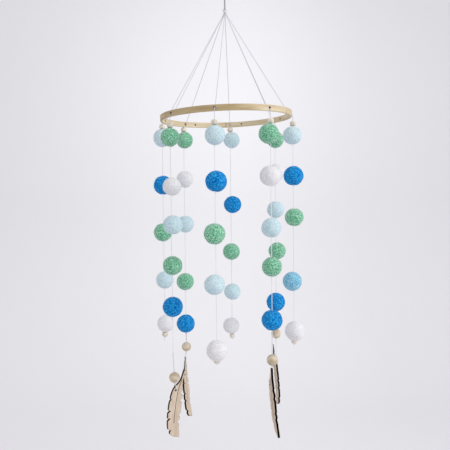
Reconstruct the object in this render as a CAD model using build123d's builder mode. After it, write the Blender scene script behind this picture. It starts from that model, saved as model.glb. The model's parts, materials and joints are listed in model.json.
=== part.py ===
# Crib mobile: a bamboo hoop hung by eight threads, with eight strings of felt balls below it.
# Millimetres, +Z up, +X to the right, +Y away from the viewer.
# The origin is where a hook bears on the inside of the hanging loop; everything hangs below it.
import math
import os

from build123d import *

# ---- hanging cord -------------------------------------------------------------------------
MAIN_CORD_D = 2.4
LOOP_R = 8.0                 # bend of the hanging loop over its hook, at the cord's centre
LOOP_KNOT_Z = -34.0          # knot that closes the hanging loop
LOOP_KNOT_R = 4.0
GATHER_Z = -75.0             # knot that gathers the eight threads
GATHER_KNOT_R = 5.0

# ---- hoop ---------------------------------------------------------------------------------
HOOP_Z = -240.0              # height of the hoop's centre
HOOP_R = 104.0               # outside radius
BAND_T = 4.0
BAND_H = 9.0
BAND_EDGE_R = 0.8
HOOP_TILT = (2.9, -1.5, 0)   # the hoop hangs a little askew, in degrees about X and Y
HOLE_R = 1.5
SPARE_HOLE_STEP = -12.0      # unused holes beside three of the strings, in degrees
SPARE_HOLE_R = 0.9
SPARE_HOLE_STRINGS = "ceg"

# ---- threads, beads and balls --------------------------------------------------------------
THREAD_D = 0.9
THREAD_STAND_OFF = 1.3       # thread's centre to the band's face, inside and outside
INNER_BEND_R = 2.0           # thread's bend where it enters its hole
OUTER_BEND_R = 1.25          # thread's bend over the hole's outer edge
SLANT = 0.7                  # a thread enters its hole this much high, and leaves it as much low
BORE_R = 0.6                 # bore through a felt ball
BEAD_R = 4.9
BEAD_HALF_H = 3.4
BEAD_END_R = 3.5             # radius of a bead's flat ends
BEAD_BORE_R = 0.8
WOOD_BALL_BORE_R = 1.5       # passes the doubled thread
GAP = 0.4                    # running gap between a bead and what hangs next to it

# ---- feathers ------------------------------------------------------------------------------
PLY_T = 3.0
FEATHER_HOLE_R = 1.6
TIE_BENDS = [3.0, 3.0, 1.1, 1.1, 3.0, 3.0]
FEATHER_TOP = 6.2            # the plywood's height above the thread, on the thread's line

# Each string: azimuth from the front towards +X, drops of its felt balls below the hoop's hole,
# their diameters, and how far each is threaded off its centre along X.
# A "cloud" string ends in a small bead, a "feather" string in a wooden ball and a feather.
STRINGS = {
    "a": dict(kind="cloud", azimuth=-99.4, drops=(27.4, 104, 181, 259, 331),
              sizes=(29.0, 31.0, 29.5, 28.5, 27.5), shifts=(0, 0.5, -1, 1, 1.5)),
    "b": dict(kind="feather", azimuth=-51.2, drops=(35, 107, 163, 223, 284),
              sizes=(27.5, 27.0, 28.5, 28.5, 29.5), shifts=(-0.5, 1.5, 2, 1, 0.5)),
    "c": dict(kind="feather", azimuth=-135.6, drops=(26.8, 95, 173, 274, 348),
              sizes=(28.5, 29.0, 29.5, 30.0, 31.5), shifts=(1.5, 1, 1, -0.5, -0.5)),
    "d": dict(kind="cloud", azimuth=-9.0, drops=(38, 102, 175, 246, 339),
              sizes=(28.0, 30.0, 30.0, 29.0, 29.5), shifts=(0.5, 1.5, -1.5, -2.5, 0)),
    "e": dict(kind="cloud", azimuth=175.8, drops=(27.1, 143, 228, 301, 363),
              sizes=(29.0, 31.5, 30.5, 29.5, 29.0), shifts=(2.5, 3, 0, 1, -1.5)),
    "f": dict(kind="feather", azimuth=36.7, drops=(37, 97, 171, 227, 304),
              sizes=(29.0, 30.0, 28.5, 28.5, 30.0), shifts=(-2.5, -1, 0, 0.5, 0)),
    "g": dict(kind="feather", azimuth=126.9, drops=(33, 89, 153, 224, 313),
              sizes=(28.5, 29.0, 29.5, 29.5, 32.0), shifts=(0.5, 1, 0, 2, -1)),
    "h": dict(kind="cloud", azimuth=82.8, drops=(34, 97, 162, 263, 342),
              sizes=(29.0, 31.0, 29.0, 30.0, 31.0), shifts=(-1, 0.5, 1, -2.5, 1)),
}
# Which felt balls of a string, counted from the top, share a node.
BALL_COLOURS = {
    "cloud": {"blue_balls": (0, 1, 3), "green_ball": (2,), "white_ball": (4,)},
    "feather": {"green_balls": (0, 3), "white_ball": (1,), "blue_balls": (2, 4)},
}
END_BEAD_SINK = {"a": 0.0, "d": 4.4, "e": 0.0, "h": 3.0}    # pulled up into the felt
TAILS = {"a": 8.0, "d": 2.4, "e": 2.4, "h": 4.0}            # thread left below an end bead
# Each feather: drop of the knot above its wooden ball, drop and radius of that ball, how far the
# ball's lower end and the feather's hole hang off the string's line along X, drop of the hole, the
# feather's turn about the vertical, and its tip about +X and lean towards +X, in degrees.
FEATHERS = {
    "b": dict(knot_drop=356, ball_drop=389, ball_r=7.8, ball_shift=1.9, hole_shift=2.4, hole_drop=406.6,
              turn=38.9, tip=7, lean=-1),
    "c": dict(knot_drop=367, ball_drop=389, ball_r=8.0, ball_shift=0, hole_shift=-4.5, hole_drop=437.5,
              turn=74.6, tip=0, lean=7.5),
    "f": dict(knot_drop=329, ball_drop=362, ball_r=8.2, ball_shift=0, hole_shift=-2.6, hole_drop=395.7,
              turn=-78.8, tip=-3, lean=7.1),
    "g": dict(knot_drop=335, ball_drop=368, ball_r=8.2, ball_shift=-1.1, hole_shift=-2.1, hole_drop=415.8,
              turn=99.1, tip=0, lean=2.5),
}
# A feather's outline, as (across, up) from its hole: smooth curves, and between each two the tip of
# the notch that is cut there. The quill's end joins the last curve to the first.
FEATHER_CURVES = [
    [(15.6, 25.6), (12.4, 18.2), (9.0, 11.8), (4.6, 7.8), (-0.6, 4.6), (-5.1, -0.9), (-9.2, -12.9)],
    [(-10.1, -15.3), (-12.1, -22.7), (-12.9, -29.4)],
    [(-13.7, -33.2), (-14.5, -41.5)],
    [(-14.5, -45.5), (-14.7, -53.2), (-14.2, -58.8)],
    [(-11.4, -64.4), (-10.8, -67.6), (-8.4, -70.7), (-3.7, -74.0), (1.5, -76.2), (4.6, -77.1),
     (5.1, -75.2), (5.1, -66.3), (5.4, -56.9)],
    [(6.2, -49.1), (7.2, -45.5)],
    [(8.2, -38.6), (9.9, -27.9), (10.7, -23.4)],
    [(11.5, -17.2), (12.1, -12.6)],
    [(12.0, -4.8), (12.2, 3.2), (12.7, 8.4), (14.7, 15.8), (17.8, 24.8)],
]
NOTCH_TIPS = [(-6.8, -13.5), (-8.9, -30.9), (-9.7, -42.8), (-9.1, -62.1), (2.3, -52.0),
              (4.4, -43.1), (7.4, -20.2), (8.8, -7.9)]

hoop_plane = Plane(origin=(0, 0, HOOP_Z)).rotated(HOOP_TILT)
os.makedirs("parts", exist_ok=True)


def save(builder, label):
    """Label a finished piece and write it as its own STEP file."""
    builder.part.label = label
    export_step(builder.part, f"parts/{label}.step")


def on_hoop(azimuth, radius, height=0.0):
    """A point of the tilted hoop, from its azimuth, its radius and its height on the band."""
    angle = math.radians(azimuth)
    return hoop_plane.from_local_coords((radius * math.sin(angle), -radius * math.cos(angle), height))


def string_top(name):
    """Where a string starts to hang, just outside its hole in the band."""
    return on_hoop(STRINGS[name]["azimuth"], HOOP_R + THREAD_STAND_OFF)


def below(name, drop, shift=0.0):
    """A point of a string, from its drop below the hoop's hole."""
    top = string_top(name)
    return Vector(top.X + shift, top.Y, top.Z - drop)


def bead_drop(name):
    """The top bead rests on the string's first felt ball."""
    string = STRINGS[name]
    return string["drops"][0] - string["sizes"][0] / 2 - GAP - BEAD_HALF_H


def end_bead_drop(name):
    """The end bead carries the string's last felt ball."""
    string = STRINGS[name]
    return string["drops"][-1] + string["sizes"][-1] / 2 + GAP + BEAD_HALF_H - END_BEAD_SINK[name]


def tube(route, radii, diameter):
    """Add a round cord to the open BuildPart, along straight runs joined by tangent arcs."""
    with BuildLine() as path:
        if radii:
            FilletPolyline(*route, radius=radii)
        else:
            Polyline(*route)
    with BuildSketch(Plane(origin=path.line @ 0, z_dir=path.line % 0)) as section:
        Circle(diameter / 2)
    sweep(sections=section.sketch, path=path.line)
    return sum(edge.length for edge in path.edges())


def report_cord(label, solid, length, diameter):
    """Print a cord's length, and its volume over section times length."""
    ratio = solid.volume / (math.pi * diameter**2 / 4 * length)
    print(f"{label}: length {length:.1f} mm, volume ratio {ratio:.4f}")


def turned_bead(centre, radius, half_height, end_r, bore_r, label):
    """A turned wooden bead, bored along Z. Its ends are flat where end_r is more than bore_r."""
    with BuildPart() as bead:
        with BuildSketch(Plane(origin=centre, x_dir=(1, 0, 0), z_dir=(0, -1, 0))):
            with BuildLine():
                bulge = ThreePointArc((end_r, half_height), (radius, 0), (end_r, -half_height))
                if end_r > bore_r:
                    Polyline(bulge @ 1, (bore_r, -half_height), (bore_r, half_height), bulge @ 0)
                else:
                    Line(bulge @ 1, bulge @ 0)
            make_face()
        revolve(axis=Axis(tuple(centre), (0, 0, 1)))
    save(bead, label)


# ---- hanging cord and its loop ---------------------------------------------------------------
loop_centre_z = MAIN_CORD_D / 2 - LOOP_R
leg_x = 0.55 * MAIN_CORD_D    # the loop's two legs end side by side inside the knot
leg_height = loop_centre_z - LOOP_KNOT_Z
tangent_angle = math.atan2(leg_x, leg_height) + math.acos(LOOP_R / math.hypot(leg_x, leg_height))
tangent_x = LOOP_R * math.sin(tangent_angle)
tangent_z = loop_centre_z - LOOP_R * math.cos(tangent_angle)
gather_top_z = GATHER_Z + GATHER_KNOT_R + GAP
with BuildPart() as main_cord:
    tube([(0, 0, gather_top_z), (0, 0, LOOP_KNOT_Z)], None, MAIN_CORD_D)
    with BuildLine() as loop_path:
        Line((leg_x, 0, LOOP_KNOT_Z), (tangent_x, 0, tangent_z))
        ThreePointArc((tangent_x, 0, tangent_z), (0, 0, MAIN_CORD_D / 2), (-tangent_x, 0, tangent_z))
        Line((-tangent_x, 0, tangent_z), (-leg_x, 0, LOOP_KNOT_Z))
    with BuildSketch(Plane(origin=loop_path.line @ 0, z_dir=loop_path.line % 0)):
        Circle(MAIN_CORD_D / 2)
    sweep(path=loop_path.line)
    with Locations((0, 0, LOOP_KNOT_Z)):
        Sphere(LOOP_KNOT_R)
save(main_cord, "main_cord")
loop_length = sum(edge.length for edge in loop_path.edges())
print(f"main_cord: straight {LOOP_KNOT_Z - gather_top_z:.1f} mm, loop {loop_length:.1f} mm")

with BuildPart() as gather_knot:
    with Locations((0, 0, GATHER_Z)):
        Sphere(GATHER_KNOT_R)
save(gather_knot, "gather_knot")

# ---- hoop, with a hole for each string ----------------------------------------------------------
holes = [(string["azimuth"], HOLE_R) for string in STRINGS.values()]
holes += [(STRINGS[name]["azimuth"] + SPARE_HOLE_STEP, SPARE_HOLE_R) for name in SPARE_HOLE_STRINGS]
with BuildPart() as hoop:
    with BuildSketch(hoop_plane.offset(-BAND_H / 2)):
        Circle(HOOP_R)
        Circle(HOOP_R - BAND_T, mode=Mode.SUBTRACT)
    extrude(amount=BAND_H)
    fillet(hoop.edges(), radius=BAND_EDGE_R)
    for azimuth, hole_r in holes:
        inner = on_hoop(azimuth, HOOP_R - 2 * BAND_T)
        outer = on_hoop(azimuth, HOOP_R + BAND_T)
        with BuildSketch(Plane(origin=inner, z_dir=outer - inner)):
            Circle(hole_r)
        extrude(amount=3 * BAND_T, mode=Mode.SUBTRACT)
save(hoop, "hoop")


# ---- eight threads from the gathering knot, through the hoop, to the top beads ---------------------
def thread_route(name):
    """From the gathering knot to the hole, through the band, and down to the top bead."""
    azimuth = STRINGS[name]["azimuth"]
    inside = on_hoop(azimuth, HOOP_R - BAND_T - THREAD_STAND_OFF, SLANT)
    knot = Vector(0, 0, GATHER_Z)
    start = knot + (inside - knot).normalized() * (GATHER_KNOT_R + GAP)
    return [start, inside, below(name, SLANT), below(name, bead_drop(name) - BEAD_HALF_H - GAP)]


with BuildPart() as suspension_cords:
    total_length = 0.0
    for name in STRINGS:
        total_length += tube(thread_route(name), [INNER_BEND_R, OUTER_BEND_R], THREAD_D)
report_cord("suspension_cords", suspension_cords.part, total_length, THREAD_D)
save(suspension_cords, "suspension_cords")


# ---- pieces that every string has --------------------------------------------------------------
def make_cord(name, last_drop):
    """The string's own thread, from under its top bead down to last_drop."""
    first = below(name, bead_drop(name) + BEAD_HALF_H + GAP)
    with BuildPart() as cord:
        length = tube([first, below(name, last_drop)], None, THREAD_D)
    report_cord(f"string_{name}_cord", cord.part, length, THREAD_D)
    save(cord, f"string_{name}_cord")


def make_felt_balls(name, label, members):
    """The string's felt balls of one colour family, each bored for the thread."""
    string = STRINGS[name]
    with BuildPart() as balls:
        for member in members:
            drop = string["drops"][member]
            with Locations(below(name, drop, string["shifts"][member])):
                Sphere(string["sizes"][member] / 2, rotation=(90, 0, 0))
            with Locations(below(name, drop)):
                Cylinder(BORE_R, 2 * string["sizes"][member], mode=Mode.SUBTRACT)
    save(balls, label)


# ---- pieces that only a feather string has --------------------------------------------------------
def feather_plane(name, tilted=True):
    """The plane of a feather's face: origin at its hole, X across the feather, Y up."""
    feather = FEATHERS[name]
    turn = math.radians(feather["turn"])
    across = Vector(math.cos(turn), math.sin(turn), 0)
    facing = across.cross(Vector(0, 0, 1))
    if tilted:
        across = across.rotate(Axis.X, feather["tip"]).rotate(Axis.Y, -feather["lean"])
        facing = facing.rotate(Axis.X, feather["tip"]).rotate(Axis.Y, -feather["lean"])
    return Plane(origin=below(name, feather["hole_drop"], feather["hole_shift"]), x_dir=across, z_dir=facing)


def ball_shift(name, drop):
    """How far the doubled thread is off the string's line, from its knot to under its ball."""
    feather = FEATHERS[name]
    length = feather["ball_drop"] + feather["ball_r"] - feather["knot_drop"]
    return feather["ball_shift"] * (drop - feather["knot_drop"]) / length


def make_wood_ball(name):
    """The wooden ball above a feather, bored for the doubled thread."""
    radius, drop = FEATHERS[name]["ball_r"], FEATHERS[name]["ball_drop"]
    half_height = math.sqrt(radius**2 - WOOD_BALL_BORE_R**2)
    centre = below(name, drop, ball_shift(name, drop))
    turned_bead(centre, radius, half_height, WOOD_BALL_BORE_R, WOOD_BALL_BORE_R, f"string_{name}_wood_ball")


def make_tie(name):
    """The doubled end of the thread: down through the ball, through the feather and back up."""
    feather, plane = FEATHERS[name], feather_plane(name)
    sideways = feather_plane(name, tilted=False).z_dir * 0.6 * THREAD_D
    knot = below(name, feather["knot_drop"] + GAP)
    ball_bottom = below(name, feather["ball_drop"] + feather["ball_r"], feather["ball_shift"])
    apart = PLY_T / 2 + THREAD_D / 2 + 0.2
    route = [knot + sideways, ball_bottom + sideways]
    route += [plane.from_local_coords((0, height, apart)) for height in (FEATHER_TOP, 0)]
    route += [plane.from_local_coords((0, height, -apart)) for height in (0, FEATHER_TOP)]
    route += [ball_bottom - sideways, knot - sideways]
    with BuildPart() as tie:
        length = tube(route, TIE_BENDS, THREAD_D)
    report_cord(f"string_{name}_tie", tie.part, length, THREAD_D)
    save(tie, f"string_{name}_tie")


def make_feather(name):
    """A feather cut from thin plywood: bare quill, notched vane, blunt tip."""
    with BuildPart() as feather:
        with BuildSketch(feather_plane(name)):
            with BuildLine():
                for curve in FEATHER_CURVES:
                    Spline(*curve)
                for curve, tip, following in zip(FEATHER_CURVES, NOTCH_TIPS, FEATHER_CURVES[1:]):
                    Polyline(curve[-1], tip, following[0])
                Line(FEATHER_CURVES[-1][-1], FEATHER_CURVES[0][0])
            make_face()
            with Locations((0, -THREAD_D)):
                Circle(FEATHER_HOLE_R, mode=Mode.SUBTRACT)
        extrude(amount=PLY_T / 2, both=True)
    save(feather, f"string_{name}_feather")


# ---- assembly of the strings -----------------------------------------------------------------
for name, string in STRINGS.items():
    bead_centre = below(name, bead_drop(name))
    turned_bead(bead_centre, BEAD_R, BEAD_HALF_H, BEAD_END_R, BEAD_BORE_R, f"string_{name}_top_bead")
    for colour, members in BALL_COLOURS[string["kind"]].items():
        make_felt_balls(name, f"string_{name}_{colour}", members)
    if string["kind"] == "cloud":
        make_cord(name, end_bead_drop(name) + BEAD_HALF_H + TAILS[name])
        end_centre = below(name, end_bead_drop(name))
        turned_bead(end_centre, BEAD_R, BEAD_HALF_H, BEAD_END_R, BEAD_BORE_R, f"string_{name}_end_bead")
    else:
        make_cord(name, FEATHERS[name]["knot_drop"])
        make_wood_ball(name)
        make_tie(name)
        make_feather(name)
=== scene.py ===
# The look of a crib mobile: eight strings of wool felt balls under a bamboo hoop, with turned
# beads and laser-cut plywood feathers. Metres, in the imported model's frame.
import json
import math
import random

import bmesh
import bpy
from mathutils import Matrix, Vector, kdtree, noise
from mathutils.geometry import delaunay_2d_cdt
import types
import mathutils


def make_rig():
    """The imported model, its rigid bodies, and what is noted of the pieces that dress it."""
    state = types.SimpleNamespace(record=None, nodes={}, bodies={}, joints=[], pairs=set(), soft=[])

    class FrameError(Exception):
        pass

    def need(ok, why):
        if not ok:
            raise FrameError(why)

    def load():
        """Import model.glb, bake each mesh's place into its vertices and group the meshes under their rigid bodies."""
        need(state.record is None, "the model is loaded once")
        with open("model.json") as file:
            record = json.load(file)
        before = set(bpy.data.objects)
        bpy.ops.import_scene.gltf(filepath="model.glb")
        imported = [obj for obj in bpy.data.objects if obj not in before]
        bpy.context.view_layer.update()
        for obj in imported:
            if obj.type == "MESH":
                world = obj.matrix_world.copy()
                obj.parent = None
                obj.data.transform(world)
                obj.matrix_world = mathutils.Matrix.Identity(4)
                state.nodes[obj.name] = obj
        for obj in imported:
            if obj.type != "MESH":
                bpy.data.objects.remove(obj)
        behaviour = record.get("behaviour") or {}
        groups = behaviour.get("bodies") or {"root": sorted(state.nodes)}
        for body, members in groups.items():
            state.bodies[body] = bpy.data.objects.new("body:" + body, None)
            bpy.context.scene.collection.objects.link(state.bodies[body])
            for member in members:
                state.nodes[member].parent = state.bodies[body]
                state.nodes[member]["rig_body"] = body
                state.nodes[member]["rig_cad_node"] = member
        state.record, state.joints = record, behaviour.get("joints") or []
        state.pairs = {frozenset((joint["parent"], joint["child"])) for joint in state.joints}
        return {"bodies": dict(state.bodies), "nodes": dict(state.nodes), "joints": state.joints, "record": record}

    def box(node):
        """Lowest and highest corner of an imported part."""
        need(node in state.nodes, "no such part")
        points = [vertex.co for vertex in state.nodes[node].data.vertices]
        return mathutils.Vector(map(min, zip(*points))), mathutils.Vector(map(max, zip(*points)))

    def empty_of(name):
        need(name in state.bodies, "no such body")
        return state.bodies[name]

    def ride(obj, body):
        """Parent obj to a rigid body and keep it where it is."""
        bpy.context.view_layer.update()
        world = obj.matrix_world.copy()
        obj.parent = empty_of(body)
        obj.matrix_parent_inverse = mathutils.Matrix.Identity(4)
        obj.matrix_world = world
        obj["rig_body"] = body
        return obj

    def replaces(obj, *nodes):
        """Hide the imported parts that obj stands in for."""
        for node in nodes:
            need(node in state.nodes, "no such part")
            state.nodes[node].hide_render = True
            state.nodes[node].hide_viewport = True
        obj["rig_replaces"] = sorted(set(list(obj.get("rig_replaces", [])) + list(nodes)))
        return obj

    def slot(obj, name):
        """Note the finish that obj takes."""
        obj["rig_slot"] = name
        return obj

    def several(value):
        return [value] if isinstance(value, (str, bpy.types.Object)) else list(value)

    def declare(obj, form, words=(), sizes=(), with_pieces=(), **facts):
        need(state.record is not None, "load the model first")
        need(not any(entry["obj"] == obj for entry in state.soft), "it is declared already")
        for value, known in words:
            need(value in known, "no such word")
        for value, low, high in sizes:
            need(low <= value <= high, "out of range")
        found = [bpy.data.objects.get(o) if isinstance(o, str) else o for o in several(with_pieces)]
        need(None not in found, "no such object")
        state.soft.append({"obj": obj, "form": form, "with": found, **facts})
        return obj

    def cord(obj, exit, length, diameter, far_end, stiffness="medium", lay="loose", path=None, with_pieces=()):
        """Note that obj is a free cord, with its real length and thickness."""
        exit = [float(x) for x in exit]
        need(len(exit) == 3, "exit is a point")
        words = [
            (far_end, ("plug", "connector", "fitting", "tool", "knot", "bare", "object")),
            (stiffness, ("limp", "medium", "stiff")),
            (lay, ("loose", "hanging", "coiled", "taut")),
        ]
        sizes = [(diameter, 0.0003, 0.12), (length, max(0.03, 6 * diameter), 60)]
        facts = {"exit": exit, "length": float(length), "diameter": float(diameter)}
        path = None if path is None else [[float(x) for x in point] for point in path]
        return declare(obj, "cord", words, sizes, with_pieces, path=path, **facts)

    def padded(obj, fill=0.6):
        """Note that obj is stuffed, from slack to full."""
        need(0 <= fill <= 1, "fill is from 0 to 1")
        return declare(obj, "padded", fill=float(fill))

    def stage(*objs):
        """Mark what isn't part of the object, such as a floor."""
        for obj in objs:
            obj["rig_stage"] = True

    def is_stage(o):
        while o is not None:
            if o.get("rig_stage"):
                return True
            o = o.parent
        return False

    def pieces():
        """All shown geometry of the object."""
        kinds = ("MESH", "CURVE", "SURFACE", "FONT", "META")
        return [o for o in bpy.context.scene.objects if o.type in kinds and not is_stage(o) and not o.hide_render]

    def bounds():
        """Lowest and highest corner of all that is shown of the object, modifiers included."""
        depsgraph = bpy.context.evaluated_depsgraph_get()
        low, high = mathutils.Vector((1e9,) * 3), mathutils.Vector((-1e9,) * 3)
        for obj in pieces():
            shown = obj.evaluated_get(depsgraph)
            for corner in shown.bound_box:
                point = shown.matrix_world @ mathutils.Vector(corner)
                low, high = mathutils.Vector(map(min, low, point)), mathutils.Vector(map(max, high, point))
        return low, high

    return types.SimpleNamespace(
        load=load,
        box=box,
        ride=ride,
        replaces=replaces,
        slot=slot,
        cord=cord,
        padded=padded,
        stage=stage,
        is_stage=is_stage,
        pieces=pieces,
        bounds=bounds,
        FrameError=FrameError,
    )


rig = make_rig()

MM = 0.001
UP = Vector((0, 0, 1))

# ---- the CAD model's own numbers, for the routes of its cords --------------------------------
MAIN_CORD_D = 2.4 * MM
LOOP_KNOT_Z = -34 * MM
GATHER_Z = -75 * MM
GATHER_KNOT_R = 5 * MM
HOOP_Z = -240 * MM
HOOP_R = 104 * MM
BAND_T = 4 * MM
TILT_X, TILT_Y = math.radians(2.9), math.radians(-1.5)
HOOP_TILT = Matrix.Rotation(TILT_X, 3, "X") @ Matrix.Rotation(TILT_Y, 3, "Y")
THREAD_D = 0.9 * MM
THREAD_STAND_OFF = 1.3 * MM   # a thread's middle line to the band's face, inside and outside
SLANT = 0.7 * MM              # a thread enters its hole this much high, and leaves it as much low
GAP = 0.4 * MM                # a string's end to the tie that hangs from it
FEATHER_TOP = 6.2 * MM        # the plywood's height above the thread, on the thread's line
PLY_T = 3.0 * MM
AZIMUTHS = {"a": -99.4, "b": -51.2, "c": -135.6, "d": -9.0, "e": 175.8, "f": 36.7, "g": 126.9, "h": 82.8}
HOLES = [(azimuth, 1.5 * MM) for azimuth in AZIMUTHS.values()]    # azimuth in degrees, and radius
HOLES += [(AZIMUTHS[name] - 12, 0.9 * MM) for name in "ceg"]      # unused holes beside three of them
TAILS = {"a": 8.0 * MM, "d": 2.4 * MM, "e": 2.4 * MM, "h": 4.0 * MM}    # thread left below an end bead
FEATHERS = {                  # drops below the hoop and shifts to the right in mm, turns in degrees
    "b": dict(knot_drop=356, ball_shift=1.9, hole_shift=2.4, hole_drop=406.6, turn=38.9, tip=7, lean=-1),
    "c": dict(knot_drop=367, ball_shift=0, hole_shift=-4.5, hole_drop=437.5, turn=74.6, tip=0, lean=7.5),
    "f": dict(knot_drop=329, ball_shift=0, hole_shift=-2.6, hole_drop=395.7, turn=-78.8, tip=-3, lean=7.1),
    "g": dict(knot_drop=335, ball_shift=-1.1, hole_shift=-2.1, hole_drop=415.8, turn=99.1, tip=0, lean=2.5),
}

# ---- cords as they look ---------------------------------------------------------------------------
THREAD_PITCH = 3 * MM         # along the cord for one turn of its strands
MAIN_CORD_PITCH = 5.4 * MM
STRANDS = 3
SECTION_MEAN, SECTION_SWELL = 1.1, 0.12      # of half the cord's stated diameter
SECTION_SIDES = 9
STEPS_PER_PITCH = 6
NEAR_EDGE = 6 * THREAD_D      # a thread starts to turn over a hole's edge this far from it
IN_WRAPS = 2.2 * MM           # how deep a thread starts in the gathering knot
TAIL_BEND = 1.6 * MM          # a tail kicks aside this far below its bead
TIE_SPREAD = 0.6 * THREAD_D   # each leg of a tie to its string's line
KNOT_LEAN, KNOT_SQUASH = 0.35, 0.85
TREFOIL_POINTS = 24
WRAP_POINTS = 54

# ---- felt balls: each string's colours from the top down, and the node that holds each ---------
CLOUD = [("light_blue", "blue_balls"), ("blue", "blue_balls"), ("green", "green_ball"),
         ("light_blue", "blue_balls"), ("white", "white_ball")]
FEATHERED = [("green", "green_balls"), ("white", "white_ball"), ("light_blue", "blue_balls"),
             ("green", "green_balls"), ("blue", "blue_balls")]
SKY_BALL = ("h", 3)           # the one paler blue ball: its string, and its place counted from 0
FELT_SLOTS = {"light_blue": "felt_blue", "sky": "felt_blue", "blue": "felt_blue",
              "green": "felt_green", "white": "felt_white"}

LUMPS = [(0.030, 1.5), (0.014, 3.7), (0.012, 9), (0.007, 24)]     # height, and how close they lie
MOST_FLAT = 0.035
DIMPLE_R, DIMPLE_DEPTH = 1.6 * MM, 1.3 * MM      # where the thread pulls in
FIBRES_PER_BALL = 210
FIBRE_STEPS = 4

# ---- feathers --------------------------------------------------------------------------------------
SHAFT = [(11.3, 12.6), (8.3, 6.8), (5.3, 0), (2.8, -7.3), (0.7, -17.8),
         (-1.8, -32.5), (-3.4, -45), (-4.1, -51.5)]      # across and up from the hole in mm
GROOVE_DEPTH = 0.4 * MM
GROOVE_HALF_WIDTH, GROOVE_NARROWING = 0.62 * MM, 0.34 * MM       # at its top, and down to its foot
GROOVE_STEP = 0.9 * MM
EDGE_STEP, HOLE_STEP = 0.8 * MM, 0.5 * MM
GRID_STEP = 1.3 * MM
GRID_ROW = 0.866 * GRID_STEP          # the height of a triangle with sides of one step
WELD = 0.002 * MM
CLEAR_OF_RIM, CLEAR_OF_SHAFT = 0.45 * MM, 1.0 * MM
SINGE_REACH = 0.45 * MM
RIM_SINGE, SHAFT_SINGE = 0.5, 0.9      # 1 is charred

# ---- camera, backdrop and light ----------------------------------------------------------------------
CAMERA_AT = (-0.0034, -0.7996, -0.3892)
CAMERA_TIP, CAMERA_ROLL = math.radians(88.41), math.radians(-0.61)
WALL_Y, FLOOR_Z, BEND_R = 2.2, -1.25, 0.9
FLOOR_FRONT_Y, WALL_TOP_Z, STAGE_HALF_WIDTH = -6.0, 5.0, 7.0
WORLD_COLOUR, WORLD_STRENGTH = (0.985, 0.98, 1.0, 1), 0.84

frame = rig.load()
cad_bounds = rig.bounds()
nodes = frame["nodes"]


# ---- camera ------------------------------------------------------------------------------------
def make_camera():
    """The front view, level with the middle of the mobile."""
    data = bpy.data.cameras.new("camera")
    data.lens = 40
    data.sensor_width = 36
    data.clip_start = 0.01
    camera = bpy.data.objects.new("camera", data)
    bpy.context.scene.collection.objects.link(camera)
    place = Matrix.Translation(CAMERA_AT)
    camera.matrix_world = place @ Matrix.Rotation(CAMERA_TIP, 4, "X") @ Matrix.Rotation(CAMERA_ROLL, 4, "Z")
    bpy.context.scene.camera = camera


# ---- small helpers -------------------------------------------------------------------------------
def linear(red, green, blue):
    """A colour from its usual 0 to 255 numbers, as shaders take it."""
    def one(value):
        value /= 255
        return value / 12.92 if value <= 0.04045 else ((value + 0.055) / 1.055) ** 2.4
    return (one(red), one(green), one(blue), 1)


def new_piece(name, mesh, material, body, slot):
    """A new piece of the object, on its body."""
    piece = bpy.data.objects.new(name, mesh)
    bpy.context.scene.collection.objects.link(piece)
    piece.data.materials.append(material)
    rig.ride(piece, body)
    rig.slot(piece, slot)
    return piece


def centre_of(node):
    """The middle of a CAD node's box."""
    low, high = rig.box(node)
    return (low + high) / 2


def on_hoop(azimuth, radius, height=0.0):
    """A point of the tilted hoop, from its azimuth, its radius and its height on the band."""
    angle = math.radians(azimuth)
    level = Vector((radius * math.sin(angle), -radius * math.cos(angle), height))
    return HOOP_TILT @ level + Vector((0, 0, HOOP_Z))


def string_top(name):
    """Where a string's thread comes out of the hoop."""
    return on_hoop(AZIMUTHS[name], HOOP_R + THREAD_STAND_OFF)


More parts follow.
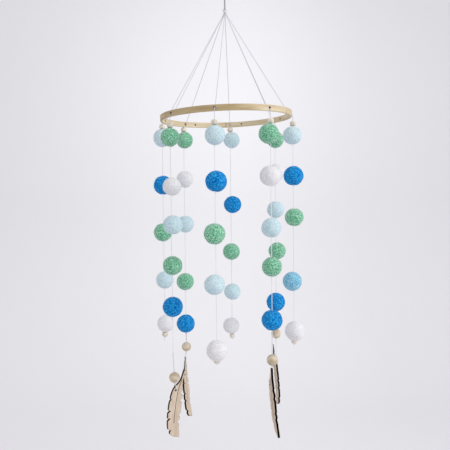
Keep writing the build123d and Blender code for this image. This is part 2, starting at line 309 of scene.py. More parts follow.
# ---- shaders -------------------------------------------------------------------------------------
class Shader:
    """A material's node tree, with short calls for the nodes used here."""

    def __init__(self, name, **settings):
        self.material = bpy.data.materials.new(name)
        self.material.use_nodes = True
        self.tree = self.material.node_tree
        self.surface = self.tree.nodes["Principled BSDF"]
        for socket, value in settings.items():
            self.surface.inputs[socket.replace("_", " ")].default_value = value

    def node(self, kind, inputs, output=0, **settings):
        """Add a node. A socket among inputs is linked, and anything else is its value."""
        node = self.tree.nodes.new(kind)
        for key, value in settings.items():
            setattr(node, key, value)
        for key, value in inputs.items():
            if isinstance(value, bpy.types.NodeSocket):
                self.tree.links.new(value, node.inputs[key])
            else:
                node.inputs[key].default_value = value
        return node.outputs[output]

    def place(self, scale=(1, 1, 1)):
        """The point in the row frame, at rest, with each axis scaled."""
        at = self.node("ShaderNodeTexCoord", {}, "Object")
        return self.node("ShaderNodeVectorMath", {0: at, 1: scale}, operation="MULTIPLY")

    def noise(self, at, scale, detail, roughness=0.5, distortion=0.0):
        return self.node("ShaderNodeTexNoise", {"Vector": at, "Scale": scale, "Detail": detail,
                                                "Roughness": roughness, "Distortion": distortion})

    def math(self, operation, a, b=0.0):
        return self.node("ShaderNodeMath", {0: a, 1: b}, operation=operation)

    def ramp(self, factor, stops):
        """A colour ramp from its positions and colours."""
        output = self.node("ShaderNodeValToRGB", {0: factor})
        elements = output.node.color_ramp.elements
        for element, (position, colour) in zip(elements, stops):
            element.position, element.color = position, colour
        for position, colour in stops[len(elements):]:
            elements.new(position).color = colour
        return output

    def mix(self, factor, a, b, blend="MIX"):
        return self.node("ShaderNodeMix", {0: factor, 6: a, 7: b}, 2, data_type="RGBA", blend_type=blend)

    def map(self, value, span, to=(0.0, 1.0)):
        """The value's place in span, as the same place in to."""
        return self.node("ShaderNodeMapRange", {0: value, 1: span[0], 2: span[1], 3: to[0], 4: to[1]})

    def attribute(self, name):
        return self.node("ShaderNodeAttribute", {}, "Fac", attribute_name=name)

    def bump(self, height, distance, strength, under=None):
        inputs = {"Height": height, "Distance": distance, "Strength": strength}
        if under:
            inputs["Normal"] = under
        return self.node("ShaderNodeBump", inputs)

    def set(self, **links):
        """Link the named sockets of the surface and return the material."""
        for socket, output in links.items():
            self.tree.links.new(output, self.surface.inputs[socket.replace("_", " ")])
        return self.material


def felt(name, dark, middle, light, sheen):
    """Felted wool: clumps of darker and lighter fibre, a matted nap and a soft sheen."""
    wool = Shader("felt_" + name, Roughness=0.95, Sheen_Weight=sheen, Sheen_Roughness=0.5,
                  Specular_IOR_Level=0.06)
    at = wool.place()
    clumps = wool.noise(at, scale=560, detail=3, roughness=0.6, distortion=0.5)
    strands = wool.noise(at, scale=1900, detail=3, roughness=0.65, distortion=1.6)
    blend = wool.math("ADD", wool.math("MULTIPLY", clumps, 0.6), wool.math("MULTIPLY", strands, 0.4))
    colour = wool.ramp(blend, [(0.41, dark), (0.5, middle), (0.59, light)])
    nap = wool.bump(strands, distance=0.4 * MM, strength=0.9)
    relief = wool.bump(clumps, distance=0.9 * MM, strength=0.9, under=nap)
    return wool.set(Base_Color=colour, Normal=relief)


def beech(name, dark, middle, light, streak):
    """Turned, unfinished beech: faint rings, short dark flecks and an open grain."""
    wood = Shader(name, Roughness=0.6, Specular_IOR_Level=0.3)
    grain = wood.noise(wood.place((700, 1500, 160)), scale=1, detail=4, roughness=0.6, distortion=0.3)
    wave = {"Vector": wood.place((1, 0.35, 0.12)), "Scale": 190.0, "Distortion": 3.0,
            "Detail": 2.0, "Detail Scale": 1.2}
    rings = wood.node("ShaderNodeTexWave", wave, 1, wave_type="RINGS")
    base = wood.ramp(rings, [(0.0, dark), (0.6, middle), (1.0, light)])
    streaked = wood.mix(wood.map(grain, (0.42, 0.62), (0.45, 0.0)), base, streak)
    flecks = wood.noise(wood.place((2200, 2200, 500)), scale=1, detail=1)
    fleck_colour = linear(146, 122, 94)
    colour = wood.mix(wood.map(flecks, (0.6, 0.72), (0.0, 0.45)), streaked, fleck_colour)
    rough = wood.map(grain, (0.3, 0.7), (0.52, 0.7))
    relief = wood.bump(grain, distance=0.06 * MM, strength=0.5)
    return wood.set(Base_Color=colour, Roughness=rough, Normal=relief)


def drilled(cane, at):
    """Near 1 in the hoop's drilled holes and in a painted shade rim round each, and 0 away from them."""
    # painted shade: full this far past a hole's rim, then fading out over the next distance
    singed, fades_over = 0.2 * MM, 0.4 * MM
    nearest = 1.0
    for azimuth, radius in HOLES:
        hole = on_hoop(azimuth, HOOP_R - BAND_T / 2)
        away = cane.node("ShaderNodeVectorMath", {0: at, 1: hole}, "Value", operation="DISTANCE")
        rim = math.hypot(radius, BAND_T / 2)
        nearest = cane.math("MINIMUM", cane.math("SUBTRACT", away, rim), nearest)
    return cane.map(nearest, (singed, singed + fades_over), (0.95, 0.0))


def round_hoop(cane, at):
    """A point's place round the hoop as a unit vector's x and y, its radius, and its height on the band."""
    level = cane.node("ShaderNodeVectorMath", {0: at, 1: (1, 1, 0)}, operation="MULTIPLY")
    around = cane.node("ShaderNodeVectorMath", {0: level}, operation="NORMALIZE")
    turn_x = cane.node("ShaderNodeSeparateXYZ", {0: around}, "X")
    turn_y = cane.node("ShaderNodeSeparateXYZ", {0: around}, "Y")
    radius = cane.node("ShaderNodeVectorMath", {0: level}, "Value", operation="LENGTH")
    height = cane.node("ShaderNodeSeparateXYZ", {0: at}, "Z")
    tilt = cane.math("ADD", cane.math("MULTIPLY", turn_x, TILT_Y * HOOP_R),
                     cane.math("MULTIPLY", turn_y, -TILT_X * HOOP_R))
    return turn_x, turn_y, radius, cane.math("ADD", height, tilt)


def bamboo():
    """A bent bamboo strip: long fibres round the hoop, darker lengths and a joint here and there, with painted shade
    on the outer face except towards its right, and a painted shade rim round each hole.
    """
    cane = Shader("bamboo", Roughness=0.45, Specular_IOR_Level=0.4, Coat_Weight=0.1, Coat_Roughness=0.35)
    at = cane.node("ShaderNodeTexCoord", {}, "Object")
    turn_x, turn_y, radius, up = round_hoop(cane, at)

    def along(spread, fine, deep):
        """Coordinates that run slowly round the hoop and fast across it."""
        place = cane.node("ShaderNodeCombineXYZ", {0: cane.math("MULTIPLY", turn_x, spread),
                                                   1: cane.math("MULTIPLY", turn_y, spread),
                                                   2: cane.math("MULTIPLY", up, fine)})
        depth = cane.node("ShaderNodeCombineXYZ", {0: 0.0, 1: 0.0, 2: cane.math("MULTIPLY", radius, deep)})
        return cane.node("ShaderNodeVectorMath", {0: place, 1: depth}, operation="ADD")

    fibres = cane.noise(along(spread=5, fine=3200, deep=2600), scale=1, detail=3, roughness=0.6)
    bands = cane.noise(along(spread=2.2, fine=500, deep=300), scale=1, detail=3, roughness=0.55)
    angle = cane.math("ARCTAN2", turn_x, turn_y)
    joints = cane.math("ABSOLUTE", cane.math("SINE", cane.math("MULTIPLY", angle, 1.5)))
    joint = cane.map(joints, (0.0, 0.03), (1.0, 0.0))
    base = cane.ramp(bands, [(0.3, linear(200, 180, 142)), (0.5, linear(220, 203, 169)),
                             (0.7, linear(232, 219, 190))])
    # painted shade: the outer face is darkened all round except towards its right side, where the key light falls
    skin = cane.map(radius, (HOOP_R - 0.7 * BAND_T, HOOP_R - 0.3 * BAND_T))
    painted_shade_outer = cane.math("MULTIPLY", cane.map(turn_x, (0.1, 0.5), (1.0, 0.15)), skin)
    with_painted_shade = cane.mix(painted_shade_outer, base, (0.72, 0.66, 0.53, 1), "MULTIPLY")
    lined = cane.mix(cane.map(fibres, (0.4, 0.6), (0.35, 0.0)), with_painted_shade, linear(150, 122, 86))
    jointed = cane.mix(cane.math("MULTIPLY", joint, 0.5), lined, linear(140, 110, 74))
    # painted shade: the dark brown round each hole stands in for the shade inside it
    colour = cane.mix(drilled(cane, at), jointed, linear(40, 26, 18))
    rough = cane.map(fibres, (0.3, 0.7), (0.4, 0.6))
    return cane.set(Base_Color=colour, Roughness=rough,
                    Normal=cane.bump(fibres, distance=0.08 * MM, strength=0.6))


def plywood():
    """Thin basswood plywood, charred where the laser cut it and browned where it engraved it."""
    ply = Shader("plywood", Roughness=0.75, Specular_IOR_Level=0.2)
    burn = ply.attribute("burn")
    grain = ply.noise(ply.place((1500, 1500, 45)), scale=1, detail=4, roughness=0.6, distortion=0.2)
    wide = ply.noise(ply.place((160, 160, 12)), scale=1, detail=2, distortion=0.6)
    base = ply.ramp(wide, [(0.3, linear(202, 184, 163)), (0.5, linear(213, 197, 179)),
                           (0.7, linear(225, 212, 198))])
    lined = ply.mix(ply.map(grain, (0.42, 0.6), (0.45, 0.0)), base, linear(182, 156, 126))
    patchy = ply.noise(ply.place(), scale=900, detail=2)
    reach = ply.math("ADD", burn, ply.math("MULTIPLY", ply.math("SUBTRACT", patchy, 0.5), 0.25))
    singed = ply.mix(ply.map(reach, (0.15, 0.65)), lined, linear(92, 62, 40))
    colour = ply.mix(ply.map(reach, (0.55, 0.8)), singed, linear(9, 7, 6))
    return ply.set(Base_Color=colour, Specular_IOR_Level=ply.map(burn, (0.3, 0.9), (0.2, 0.0)),
                   Roughness=ply.map(burn, (0.3, 0.9), (0.7, 0.95)),
                   Normal=ply.bump(grain, distance=0.06 * MM, strength=0.6))


def cotton(name, colour, shade):
    """Spun cotton: fine fibres, with painted shade in the grooves between the strands of the twist."""
    yarn = Shader(name, Roughness=0.85, Sheen_Weight=0.15, Sheen_Roughness=0.5, Specular_IOR_Level=0.25)
    fibres = yarn.noise(yarn.place(), scale=5200, detail=3, roughness=0.6, distortion=0.8)
    mixed = yarn.mix(yarn.map(fibres, (0.35, 0.65)), shade, colour)
    # painted shade in the grooves between the strands
    painted_groove_shade = yarn.mix(yarn.attribute("painted_groove_shade"), mixed, shade)
    return yarn.set(Base_Color=painted_groove_shade, Normal=yarn.bump(fibres, distance=0.08 * MM, strength=0.6))


# ---- cords -----------------------------------------------------------------------------------------
def spline_points(points, cyclic=False):
    """Close points along the smooth NURBS spline whose control points are given."""
    curve = bpy.data.curves.new("route", "CURVE")
    curve.dimensions = "3D"
    spline = curve.splines.new("NURBS")
    spline.points.add(len(points) - 1)
    for control, point in zip(spline.points, points):
        control.co = (*point, 1)
    spline.order_u = 3
    spline.use_cyclic_u = cyclic
    spline.use_endpoint_u = not cyclic
    spline.resolution_u = 24
    holder = bpy.data.objects.new("route", curve)
    mesh = bpy.data.meshes.new_from_object(holder)
    found = [vertex.co.copy() for vertex in mesh.vertices]
    bpy.data.objects.remove(holder)
    bpy.data.curves.remove(curve)
    bpy.data.meshes.remove(mesh)
    return found + found[:1] if cyclic else found


def evenly(points, step):
    """The same line in about equal steps, with its ends kept."""
    lengths = [0.0]
    for a, b in zip(points, points[1:]):
        lengths.append(lengths[-1] + (b - a).length)
    count = max(2, round(lengths[-1] / step))
    result, index = [], 0
    for k in range(count + 1):
        wanted = lengths[-1] * k / count
        while index < len(points) - 2 and lengths[index + 1] < wanted:
            index += 1
        span = lengths[index + 1] - lengths[index]
        share = (wanted - lengths[index]) / span if span else 0
        result.append(points[index].lerp(points[index + 1], min(share, 1)))
    return result, lengths[-1]


def add_section(bm, layer, middle, axes, diameter, turn):
    """Add one ring of a laid cord's surface to bm, with a lobe for each strand."""
    ring = []
    for j in range(SECTION_SIDES):
        angle = 2 * math.pi * j / SECTION_SIDES + turn
        lobe = math.cos(STRANDS * 2 * math.pi * j / SECTION_SIDES)
        reach = diameter / 2 * (SECTION_MEAN + SECTION_SWELL * lobe)
        vertex = bm.verts.new(middle + (axes[0] * math.cos(angle) + axes[1] * math.sin(angle)) * reach)
        # painted shade: 1 in the grooves between strands, 0 on their crowns
        vertex[layer] = 0.5 - 0.5 * lobe
        ring.append(vertex)
    return ring


def add_twisted(bm, layer, line, diameter, pitch, closed):
    """Add a laid cord to bm: its section has a lobe for each strand and turns along the line."""
    points, length = evenly(line, pitch / STEPS_PER_PITCH)
    if closed:
        points.pop()
    normal = (points[1] - points[0]).orthogonal().normalized()
    rings, travelled = [], 0.0
    for k, point in enumerate(points):
        if closed:
            ahead, behind = points[(k + 1) % len(points)], points[k - 1]
        else:
            ahead, behind = points[min(k + 1, len(points) - 1)], points[max(k - 1, 0)]
        along = (ahead - behind).normalized()
        normal = (normal - along * normal.dot(along)).normalized()
        side = along.cross(normal)
        turn = 2 * math.pi * travelled / pitch
        rings.append(add_section(bm, layer, point, (normal, side), diameter, turn))
        travelled += length / (len(points) - 1)
    for first, second in zip(rings, rings[1:]):
        join_rings(bm, first, second)
    if closed:
        join_rings(bm, rings[-1], best_turned(rings[0], rings[-1]))
    else:
        bm.faces.new(list(reversed(rings[0])))
        bm.faces.new(rings[-1])
    return points, length


def join_rings(bm, first, second):
    """Join two rings of as many vertices by a face for each side."""
    sides = len(first)
    for j in range(sides):
        bm.faces.new((first[j], first[(j + 1) % sides], second[(j + 1) % sides], second[j]))


def best_turned(ring, other):
    """The ring's vertices from the one that lies best against the other ring's first."""
    def misfit(turned):
        return sum((a.co - b.co).length for a, b in zip(other, turned))
    return min((ring[shift:] + ring[:shift] for shift in range(len(ring))), key=misfit)


def cord_piece(name, routes, diameter, pitch, material, body, slot):
    """One mesh of laid cord from the control points of each open or closed route.

    Returns the piece, and the last route's points and length.
    """
    bm = bmesh.new()
    # painted shade for the grooves between the strands
    layer = bm.verts.layers.float.new("painted_groove_shade")
    for control, closed in routes:
        points, length = add_twisted(bm, layer, spline_points(control, closed), diameter, pitch, closed)
    mesh = bpy.data.meshes.new(name)
    bm.to_mesh(mesh)
    bm.free()
    mesh.shade_smooth()
    return new_piece(name, mesh, material, body, slot), points, length


def suspension_route(name):
    """From the gathering knot through the hoop and down into the top bead."""
    inside = on_hoop(AZIMUTHS[name], HOOP_R - BAND_T - THREAD_STAND_OFF, SLANT)
    knot = Vector((0, 0, GATHER_Z))
    towards = (inside - knot).normalized()
    top = string_top(name) - UP * SLANT
    start = knot + towards * (GATHER_KNOT_R - IN_WRAPS)
    return [start, inside - towards * NEAR_EDGE, inside, top, top - UP * NEAR_EDGE,
            centre_of(f"string_{name}_top_bead")]


def string_route(name):
    """Straight down from the top bead to the end, whose short tail under an end bead kicks aside."""
    start = centre_of(f"string_{name}_top_bead")
    end = Vector((start.x, start.y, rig.box(f"string_{name}_cord")[0].z))
    if name in FEATHERS:
        return [start, start.lerp(end, 0.5), end]
    tail = TAILS[name] - TAIL_BEND
    kick = Vector((-0.25, -0.08, 0.06))
    return [start, start.lerp(end, 0.5), end + UP * tail, end + kick * tail]


def feather_axes(name, tilted=True):
    """Across a feather, up it and out of its face, as unit vectors."""
    turn, tip, lean = (math.radians(FEATHERS[name][key]) for key in ("turn", "tip", "lean"))
    across = Vector((math.cos(turn), math.sin(turn), 0))
    axes = across, UP, across.cross(UP)
    tilt = Matrix.Rotation(-lean, 3, "Y") @ Matrix.Rotation(tip, 3, "X")
    return tuple(tilt @ axis for axis in axes) if tilted else axes


def below(name, drop, shift=0.0):
    """A point of a string, from its drop below the hoop's hole, in mm."""
    return string_top(name) + Vector((shift, 0, -drop)) * MM


def feather_hole(name):
    """The middle of the hole that a feather hangs by."""
    return below(name, FEATHERS[name]["hole_drop"], FEATHERS[name]["hole_shift"])


def tie_route(name):
    """Down through the wooden ball, through the feather's hole and back up to the knot."""
    feather, hole = FEATHERS[name], feather_hole(name)
    _, up, facing = feather_axes(name)
    sideways = feather_axes(name, tilted=False)[2] * TIE_SPREAD
    knot = below(name, feather["knot_drop"]) - UP * GAP
    under_ball = below(name, 0, feather["ball_shift"])
    under_ball.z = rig.box(f"string_{name}_wood_ball")[0].z
    upper = [knot, under_ball.lerp(knot, 0.1), under_ball]
    apart = PLY_T / 2 + THREAD_D / 2 + 0.2 * MM
    lower = [(apart, FEATHER_TOP), (apart + 0.45 * MM, -0.4 * MM)]
    route = [point + sideways for point in upper]
    route += [hole + facing * side + up * height for side, height in lower]
    route += [hole - facing * side + up * height for side, height in reversed(lower)]
    return route + [point - sideways for point in reversed(upper)]


def trefoil(centre, size, turn):
    """Control points of a small pulled overhand knot about centre."""
    stand = Matrix.Rotation(turn, 3, "Z") @ Matrix.Rotation(math.pi / 2 - KNOT_LEAN, 3, "X")
    points = []
    for k in range(TREFOIL_POINTS):
        t = 2 * math.pi * k / TREFOIL_POINTS
        across = math.sin(t) + 2 * math.sin(2 * t)
        up = KNOT_SQUASH * (math.cos(t) - 2 * math.cos(2 * t))
        points.append(centre + stand @ (Vector((across, up, -math.sin(3 * t))) * size))
    return points


def make_cords(thread, painted_shade_thread, cord):
    """Every cord and its knots, made before the other pieces. They come first, because
    their spread is limited.
    """
    for name in AZIMUTHS:
        route = suspension_route(name)
        # the suspension threads take a darker copy of the cotton thread: painted shade
        piece, points, length = cord_piece(f"suspension_thread_{name}", [(route, False)], THREAD_D,
                                           THREAD_PITCH, painted_shade_thread, "hoop", "thread")
        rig.replaces(piece, "suspension_cords")
        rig.cord(piece, exit=route[0], length=length, diameter=THREAD_D, far_end="object", stiffness="limp",
                lay="taut", path=points)
    for name in AZIMUTHS:
        make_string(name, thread)
    for name in FEATHERS:
        make_tie(name, thread)
    make_main_cord(cord)


def make_string(name, thread):
    """A string's thread below its top bead, with the knot that ends it."""
    body = f"string_{name}"
    route = string_route(name)
    piece, points, length = cord_piece(f"{body}_thread", [(route, False)], THREAD_D, THREAD_PITCH,
                                       thread, body, "thread")
    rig.replaces(piece, f"{body}_cord")
    at = route[-1] + UP * 1.2 * MM if name in FEATHERS else route[-2] + UP * 0.6 * MM
    tied = trefoil(at, 0.4 * MM, AZIMUTHS[name])
    knot, _, _ = cord_piece(f"{body}_knot", [(tied, True)], THREAD_D, THREAD_PITCH, thread, body, "thread")
    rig.cord(piece, exit=route[0], length=length, diameter=THREAD_D, far_end="knot", stiffness="limp",
            lay="hanging", path=points, with_pieces=[knot])


def make_tie(name, thread):
    """The doubled thread that carries a wooden ball and a feather."""
    body = f"string_{name}_feather"
    route = tie_route(name)
    piece, points, length = cord_piece(f"string_{name}_tie_thread", [(route, False)], THREAD_D,
                                       THREAD_PITCH, thread, body, "thread")
    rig.replaces(piece, f"string_{name}_tie")
    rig.cord(piece, exit=route[0], length=length, diameter=THREAD_D, far_end="object", stiffness="limp",
            lay="hanging", path=points)


def make_main_cord(cord):
    """The cord above the gathering knot, with its tied hanging loop."""
    knot = Vector((0, 0, LOOP_KNOT_Z))
    side = [(5.2, -17), (9.2, -5.4), (5.0, 1.2)]
    loop = [Vector((x, 0, z)) * MM for x, z in side]
    loop += [Vector((-x, 0, z)) * MM for x, z in reversed(side)]
    start = Vector((0, 0, GATHER_Z + GATHER_KNOT_R - 1.5 * MM))
    route = [start, start.lerp(knot, 0.8), knot, *loop, knot]
    piece, points, length = cord_piece("main_cord_rope", [(route, False)], MAIN_CORD_D,
                                       MAIN_CORD_PITCH, cord, "hanger", "cord")
    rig.replaces(piece, "main_cord")
    tail = [(-0.8, 0.6, 1.5), (-2.2, 1.4, -2.5), (-2.6, 1.6, -6.5), (-3.6, 1.2, -10)]
    routes = [([knot + Vector(at) * MM for at in tail], False), (trefoil(knot, 0.9 * MM, 0.4), True)]
    tied, _, _ = cord_piece("loop_knot", routes, MAIN_CORD_D, MAIN_CORD_PITCH, cord, "hanger", "cord")
    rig.cord(piece, exit=route[0], length=length, diameter=MAIN_CORD_D, far_end="knot", stiffness="limp",
            lay="hanging", path=points, with_pieces=[tied])


# ---- gathering knot ---------------------------------------------------------------------------------
def make_gather_knot(thread):
    """The threads' untidy knot: crossed wraps, a loop left standing at each side and two cut ends."""
    draw = random.Random(75)
    centre = Vector((0, 0, GATHER_Z))
    drag = Vector((0.6, 0.1, -1)).normalized()
    wraps = []      # five times round while the thread goes down and up twice
    for k in range(WRAP_POINTS):
        t = 2 * math.pi * k / WRAP_POINTS
        across, down = 5 * t, 2 * t + 0.5
        reach = (2.1 + 0.4 * math.sin(3 * t)) * MM
        wobble = Vector((draw.uniform(-1, 1), draw.uniform(-1, 1), draw.uniform(-1, 1))) * 0.25 * MM
        ring = Vector((math.cos(across) * math.cos(down), math.sin(across) * math.cos(down), 0))
        wraps.append(centre + wobble + reach * ring + drag * 4.0 * MM * math.sin(down))
    loops = [[(0.2, 0, 1.5), (-2.4, -0.6, 1.6), (-3.6, -0.8, 3.2),
              (-2.6, -0.3, 6.0), (-0.9, 0.3, 5.0), (0, 0.4, 2)],
             [(0.4, 0, 0), (2.6, 0.8, 0.2), (4.0, 1.0, 2.0),
              (3.6, 0.4, 4.2), (1.6, -0.2, 3.2), (0.4, -0.4, 1)]]
    ends = [[(0, 0, 1), (-1.8, -1.4, -0.6), (-2.6, -2.0, -3.0)],
            [(0.8, 0, -1), (2.6, 1.2, -3.0), (3.0, 1.8, -6.0)]]
    routes = [(wraps, True)]
    routes += [([centre + Vector(at) * MM for at in line], False) for line in loops + ends]
    piece, _, _ = cord_piece("gather_knot_wraps", routes, 1.2 * THREAD_D, THREAD_PITCH, thread,
                             "knot", "thread")
    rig.replaces(piece, "gather_knot")


# ---- felt balls --------------------------------------------------------------------------------------
def balls_in(node):
    """Centre and radius of each ball of a node, from the top down."""
    apart = 8 * MM      # more than the gap between any two rows of a ball's vertices
    heights = sorted(nodes[node].data.vertices, key=lambda vertex: -vertex.co.z)
    groups = [[heights[0].co]]
    for vertex in heights[1:]:
        if groups[-1][-1].z - vertex.co.z > apart:
            groups.append([])
        groups[-1].append(vertex.co)
    result = []
    for group in groups:
        low = Vector([min(point[i] for point in group) for i in range(3)])
        high = Vector([max(point[i] for point in group) for i in range(3)])
        result.append(((low + high) / 2, (high.x - low.x) / 2))
    return result


def add_wool_fibre(bm, centre, radius, draw):
    """One loose wool fibre: a thin closed tube that rises from the felt and comes back down to it."""
    start = Vector([draw.gauss(0, 1) for _ in range(3)]).normalized()
    heading = start.orthogonal().normalized()
    heading.rotate(Matrix.Rotation(draw.uniform(0, 2 * math.pi), 3, start))
    length, lift = draw.uniform(2, 5) * MM, draw.uniform(0.25, 0.9) * MM
    curl, thick = draw.uniform(-0.8, 0.8), draw.uniform(0.035, 0.06) * MM
    rings, sideways = [], start.cross(heading)
    for k in range(FIBRE_STEPS + 1):
        s = k / FIBRE_STEPS
        out = start + (heading * s + sideways * curl * s * s) * (length / radius)
        height = radius * 0.985 + lift * math.sin(math.pi * min(1.0, 0.12 + 0.75 * s))
        middle = centre + out.normalized() * height
        width = thick * (1 - 0.6 * s)
        ring = []
        for j in range(3):
            angle = 2 * math.pi * j / 3
            ring.append(bm.verts.new(middle + (start * math.cos(angle) + sideways * math.sin(angle)) * width))
        rings.append(ring)
    for first, second in zip(rings, rings[1:]):
        join_rings(bm, first, second)
    bm.faces.new(list(reversed(rings[0])))
    bm.faces.new(rings[-1])


def felt_ball(name, centre, radius, thread_at, seed):
    """A hand-felted ball: a little lumpy, dimpled where the thread pulls in, with loose fibres."""
    draw = random.Random(seed)
    shift = Vector([draw.uniform(-50, 50) for _ in range(3)])
    flat = 1 - draw.uniform(0.0, MOST_FLAT)
    bm = bmesh.new()
    bmesh.ops.create_icosphere(bm, subdivisions=6, radius=1)
    for vertex in bm.verts:
        out = vertex.co.normalized()
        lump = sum(height * noise.noise(out * closeness + shift) for height, closeness in LUMPS)
        point = centre + Vector((out.x, out.y, out.z * flat)) * radius * (1 + lump)
        off = math.hypot(point.x - thread_at.x, point.y - thread_at.y) / DIMPLE_R
        point.z -= math.copysign(DIMPLE_DEPTH * math.exp(-off * off), out.z)
        vertex.co = point
    for _ in range(FIBRES_PER_BALL):
        add_wool_fibre(bm, centre, radius, draw)
    mesh = bpy.data.meshes.new(name)
    bm.to_mesh(mesh)
    bm.free()
    mesh.shade_smooth()
    return mesh


def make_felt_balls(felts):
    """Each string's felt balls, at the places and sizes of the CAD model's."""
    for number, name in enumerate(AZIMUTHS):
        colours = FEATHERED if name in FEATHERS else CLOUD
        found = {group: balls_in(f"string_{name}_{group}") for _, group in colours}
        thread_at = centre_of(f"string_{name}_top_bead")
        for place, (colour, group) in enumerate(colours):
            centre, radius = found[group].pop(0)
            if (name, place) == SKY_BALL:
                colour = "sky"
            label = f"string_{name}_felt_{place + 1}_{colour}"
            mesh = felt_ball(label, centre, radius, thread_at, 100 * number + place)
            piece = new_piece(label, mesh, felts[colour], f"string_{name}", FELT_SLOTS[colour])
            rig.replaces(piece, f"string_{name}_{group}")
            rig.padded(piece, fill=1.0)


# ---- feathers -----------------------------------------------------------------------------------------
class Flat:
    """A plane's points as two numbers, across and up, and back again as points in space."""

    def __init__(self, origin, axes):
        self.origin, (self.across, self.up, self.facing) = origin, axes

    def flatten(self, point):
        away = point - self.origin
        return Vector((away.dot(self.across), away.dot(self.up)))

    def raised(self, flat, out):
        return self.origin + self.across * flat.x + self.up * flat.y + self.facing * out


def face_outlines(node, plane):
    """The closed outlines of a flat node's front face in the plane, the one that reaches lowest first."""
    bm = bmesh.new()
    bm.from_mesh(nodes[node].data)
    bmesh.ops.remove_doubles(bm, verts=bm.verts, dist=WELD)
    front = {face for face in bm.faces if face.normal.dot(plane.facing) > 0.99}
    joined = {}
    for edge in bm.edges:
        if sum(face in front for face in edge.link_faces) == 1:
            for a, b in (edge.verts, reversed(edge.verts)):
                joined.setdefault(a, []).append(b)
    outlines = []
    while joined:
        start = current = next(iter(joined))
        outline, previous = [], None
        while current in joined:
            outline.append(plane.flatten(current.co))
            following = [vertex for vertex in joined.pop(current) if vertex is not previous]
            previous, current = current, following[0]
        outlines.append(outline)
    bm.free()
    outlines.sort(key=lambda outline: min(point.y for point in outline))
    return outlines


def closed_steps(outline, step):
    """A closed outline with no edge longer than step; its corners stay."""
    result = []
    for a, b in zip(outline, outline[1:] + outline[:1]):
        count = max(1, math.ceil((b - a).length / step))
        result += [a.lerp(b, k / count) for k in range(count)]
    return result


def inside(point, outline):
    """Whether a closed outline goes round the point."""
    enclosed = False
    for a, b in zip(outline, outline[1:] + outline[:1]):
        if (a.y > point.y) != (b.y > point.y):
            if point.x < a.x + (point.y - a.y) / (b.y - a.y) * (b.x - a.x):
                enclosed = not enclosed
    return enclosed


def tree_of(points):
    """A search tree of points in the plane."""
    tree = kdtree.KDTree(len(points))
    for index, point in enumerate(points):
        tree.insert((point.x, point.y, 0), index)
    tree.balance()
    return tree


def distance(tree, point):
    """How far the point is from the nearest point of the tree."""
    return tree.find((point.x, point.y, 0))[2]


def groove_rows(line):
    """The engraved shaft: rows of points for its floor and both its shoulders, each with its depth."""
    rows = []
    for side, deep in ((-1, 0.0), (0, GROOVE_DEPTH), (1, 0.0)):
        row = []
        for k, point in enumerate(line):
            ahead = line[min(k + 1, len(line) - 1)] - line[max(k - 1, 0)]
            normal = Vector((-ahead.y, ahead.x)).normalized()
            half_width = GROOVE_HALF_WIDTH - GROOVE_NARROWING * k / len(line)
            fade = min(1, (len(line) - k) / 8, (k + 1) / 4)      # shallow at both ends
            row.append((Vector((point.x, point.y)) + normal * half_width * side, deep * fade))
        rows.append(row)
    return rows


def is_wood(point, outer, hole):
    """Whether the point lies on the feather and not in its hole."""
    return inside(point, outer) and not inside(point, hole)


def infill(outer, hole, rim, shaft):
    """A staggered grid of points between the outlines and the shaft."""
    low = Vector((min(p.x for p in outer), min(p.y for p in outer)))
    high = Vector((max(p.x for p in outer), max(p.y for p in outer)))
    points = []
    for row in range(int((high.y - low.y) / GRID_ROW)):
        for column in range(int((high.x - low.x) / GRID_STEP)):
            point = Vector((low.x + (column + row % 2 / 2) * GRID_STEP, low.y + row * GRID_ROW))
            if distance(rim, point) > CLEAR_OF_RIM and distance(shaft, point) > CLEAR_OF_SHAFT:
                if is_wood(point, outer, hole):
                    points.append(point)
    return points


def make_feather(name, ply):
    """The CAD feather again, with its shaft engraved and each cut edge singed."""
    plane = Flat(feather_hole(name), feather_axes(name))
    outer, hole = face_outlines(f"string_{name}_feather", plane)
    shaft_line = spline_points([Vector((x, y, 0)) * MM for x, y in SHAFT])
    rows = groove_rows(evenly(shaft_line, GROOVE_STEP)[0])
    shaft = tree_of([point for point, _ in rows[1]])
    flat, edges, depths = [], [], []
    for loop in (closed_steps(outer, EDGE_STEP), closed_steps(hole, HOLE_STEP)):
        edges += [(len(flat) + k, len(flat) + (k + 1) % len(loop)) for k in range(len(loop))]
        flat += loop
        depths += [0.0] * len(loop)
    rim = tree_of(flat)
    for row in rows:
        edges += [(len(flat) + k, len(flat) + k + 1) for k in range(len(row) - 1)]
        flat += [point for point, _ in row]
        depths += [deep for _, deep in row]
    filling = infill(outer, hole, rim, shaft)
    verts, _, faces, origins, _, _ = delaunay_2d_cdt(flat + filling, edges, [], 0, 1e-7, True)
    depths += [0.0] * len(filling)
    deep = [max([depths[o] for o in found] or [0.0]) for found in origins]
    middles = [sum((verts[k] for k in face), Vector((0, 0))) / len(face) for face in faces]
    faces = [face for face, middle in zip(faces, middles) if is_wood(middle, outer, hole)]
    mesh = bpy.data.meshes.new(f"string_{name}_feather_ply")
    solid_sheet(mesh, plane, verts, faces, deep, rim, shaft)
    piece = new_piece(mesh.name, mesh, ply, f"string_{name}_feather", "plywood")
    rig.replaces(piece, f"string_{name}_feather")


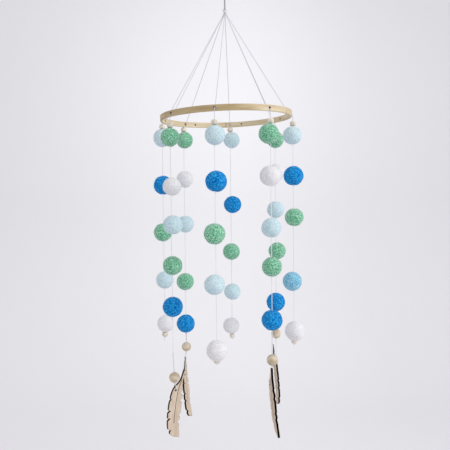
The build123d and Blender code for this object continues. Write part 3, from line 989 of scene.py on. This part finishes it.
def solid_sheet(mesh, plane, verts, faces, deep, rim, shaft):
    """Both faces of a feather, singed at the rim and engraved, and its charred walls."""
    bm = bmesh.new()
    burn = bm.loops.layers.float.new("burn")
    sides, scorch = [], {}
    for sign in (1, -1):
        layer = [bm.verts.new(plane.raised(point, sign * (PLY_T / 2 - down)))
                 for point, down in zip(verts, deep)]
        for vertex, point in zip(layer, verts):
            scorch[vertex] = max(RIM_SINGE * math.exp(-distance(rim, point) / SINGE_REACH),
                                 SHAFT_SINGE * math.exp(-distance(shaft, point) / SINGE_REACH))
        sides.append(layer)
    for face in faces:
        bm.faces.new([sides[0][k] for k in face])
        bm.faces.new([sides[1][k] for k in reversed(face)])
    for face in bm.faces:
        for loop in face.loops:
            loop[burn] = scorch[loop.vert]
    add_walls(bm, burn, sides, faces)
    for vertex in [vertex for vertex in bm.verts if not vertex.link_faces]:
        bm.verts.remove(vertex)
    bmesh.ops.recalc_face_normals(bm, faces=bm.faces)
    bm.to_mesh(mesh)
    bm.free()
    mesh.shade_smooth()


def add_walls(bm, burn, sides, faces):
    """Charred walls with sharp edges along the outlines of the faces, between a sheet's two sides."""
    used = {edge for face in faces for edge in zip(face, [*face[1:], face[0]])}
    for a, b in used:
        if (b, a) not in used:
            wall = bm.faces.new((sides[0][b], sides[0][a], sides[1][a], sides[1][b]))
            for loop in wall.loops:
                loop[burn] = 1.0
            for layer in sides:
                bm.edges.get((layer[a], layer[b])).smooth = False


# ---- stage and light ------------------------------------------------------------------------------------
def make_stage():
    """A pale floor that curves up into a backdrop."""
    bend_y, bend_z = WALL_Y - BEND_R, FLOOR_Z + BEND_R      # the bend's centre
    profile = [(FLOOR_FRONT_Y, FLOOR_Z), (bend_y, FLOOR_Z)]
    for degrees in range(6, 96, 6):
        angle = math.radians(degrees)
        profile.append((bend_y + BEND_R * math.sin(angle), bend_z - BEND_R * math.cos(angle)))
    profile.append((WALL_Y, WALL_TOP_Z))
    bm = bmesh.new()
    rows = [[bm.verts.new((x, y, z)) for y, z in profile] for x in (-STAGE_HALF_WIDTH, STAGE_HALF_WIDTH)]
    for k in range(len(profile) - 1):
        bm.faces.new((rows[0][k], rows[1][k], rows[1][k + 1], rows[0][k + 1]))
    mesh = bpy.data.meshes.new("backdrop")
    bm.to_mesh(mesh)
    bm.free()
    mesh.shade_smooth()
    backdrop = bpy.data.objects.new("backdrop", mesh)
    bpy.context.scene.collection.objects.link(backdrop)
    backdrop.data.materials.append(backdrop_paper())
    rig.stage(backdrop)


def backdrop_paper():
    """White paper with a bluish tone, with painted shade that darkens it a little to the right."""
    paper = Shader("backdrop", Roughness=0.9, Specular_IOR_Level=0.1)
    shade = paper.ramp(paper.noise(paper.place(), scale=1.5, detail=2),
                       [(0.0, (0.80, 0.795, 0.815, 1)), (1.0, (0.82, 0.815, 0.835, 1))])
    # painted shade: greyer towards the right
    to_right = paper.node("ShaderNodeSeparateXYZ", {0: paper.place()}, "X")
    darker = paper.map(to_right, (0.1, 0.8), (0.0, 0.1))
    return paper.set(Base_Color=paper.mix(darker, shade, linear(140, 140, 146)))


def area_light(name, at, aim, size, power):
    """A round soft light that faces aim."""
    data = bpy.data.lights.new(name, "AREA")
    data.shape = "DISK"
    data.size = size
    data.energy = power
    lamp = bpy.data.objects.new(name, data)
    bpy.context.scene.collection.objects.link(lamp)
    lamp.location = at
    lamp.rotation_euler = (Vector(aim) - Vector(at)).to_track_quat("-Z", "Y").to_euler()


def make_light():
    """Even studio light, a soft key light from the right and a glow on the backdrop."""
    world = bpy.data.worlds.new("studio")
    world.use_nodes = True
    world.node_tree.nodes["Background"].inputs["Color"].default_value = WORLD_COLOUR
    world.node_tree.nodes["Background"].inputs["Strength"].default_value = WORLD_STRENGTH
    bpy.context.scene.world = world
    bpy.context.scene.view_settings.view_transform = "Standard"
    area_light("key", at=(2.0, -0.9, 0.5), aim=(0, 0, -0.4), size=1.2, power=25)
    area_light("backdrop_light", at=(0.0, 1.0, 0.45), aim=(0.0, 2.2, -0.2), size=0.8, power=4)


# ---- everything -------------------------------------------------------------------------------------------
def finish_node(node, material):
    """Give its material to a CAD node that isn't replaced."""
    for slot in nodes[node].material_slots:
        slot.link = "OBJECT"
        slot.material = material


make_camera()
thread = cotton("cotton_thread", linear(250, 250, 251), linear(226, 226, 228))
# a darker copy of the same cotton thread: painted shade on the suspension threads above the hoop
painted_shade_thread = cotton("cotton_thread_painted_shade", linear(228, 228, 232), linear(200, 200, 205))
cord = cotton("cotton_cord", linear(214, 213, 216), linear(160, 159, 163))
make_cords(thread, painted_shade_thread, cord)
make_gather_knot(thread)
finish_node("hoop", bamboo())
ball_wood = beech("beech", dark=linear(200, 184, 158), middle=linear(216, 202, 180),
                  light=linear(228, 217, 198), streak=linear(168, 148, 120))
bead_wood = beech("pale_beech", dark=linear(222, 214, 200), middle=linear(233, 227, 216),
                  light=linear(240, 235, 226), streak=linear(198, 184, 164))
for node in nodes:
    if node.endswith("_wood_ball"):
        finish_node(node, ball_wood)
    elif node.endswith(("_top_bead", "_end_bead")):
        finish_node(node, bead_wood)
felts = {
    "light_blue": felt("light_blue", dark=linear(172, 202, 215), middle=linear(205, 230, 237),
                       light=linear(226, 241, 245), sheen=0.35),
    "sky": felt("sky", dark=linear(78, 150, 194), middle=linear(128, 196, 224),
                light=linear(182, 224, 240), sheen=0.4),
    "blue": felt("blue", dark=linear(0, 78, 156), middle=linear(0, 133, 213),
                 light=linear(70, 186, 240), sheen=0.06),
    "green": felt("green", dark=linear(52, 132, 90), middle=linear(110, 190, 148),
                  light=linear(190, 234, 211), sheen=0.5),
    "white": felt("white", dark=linear(221, 219, 222), middle=linear(238, 236, 239),
                  light=linear(247, 246, 248), sheen=0.3),
}
make_felt_balls(felts)
ply = plywood()
for name in FEATHERS:
    make_feather(name, ply)
make_stage()
make_light()

with open("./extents.json", "w") as file:
    json.dump({"cad": [list(corner) for corner in cad_bounds], "visual": [list(corner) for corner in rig.bounds()]}, file)
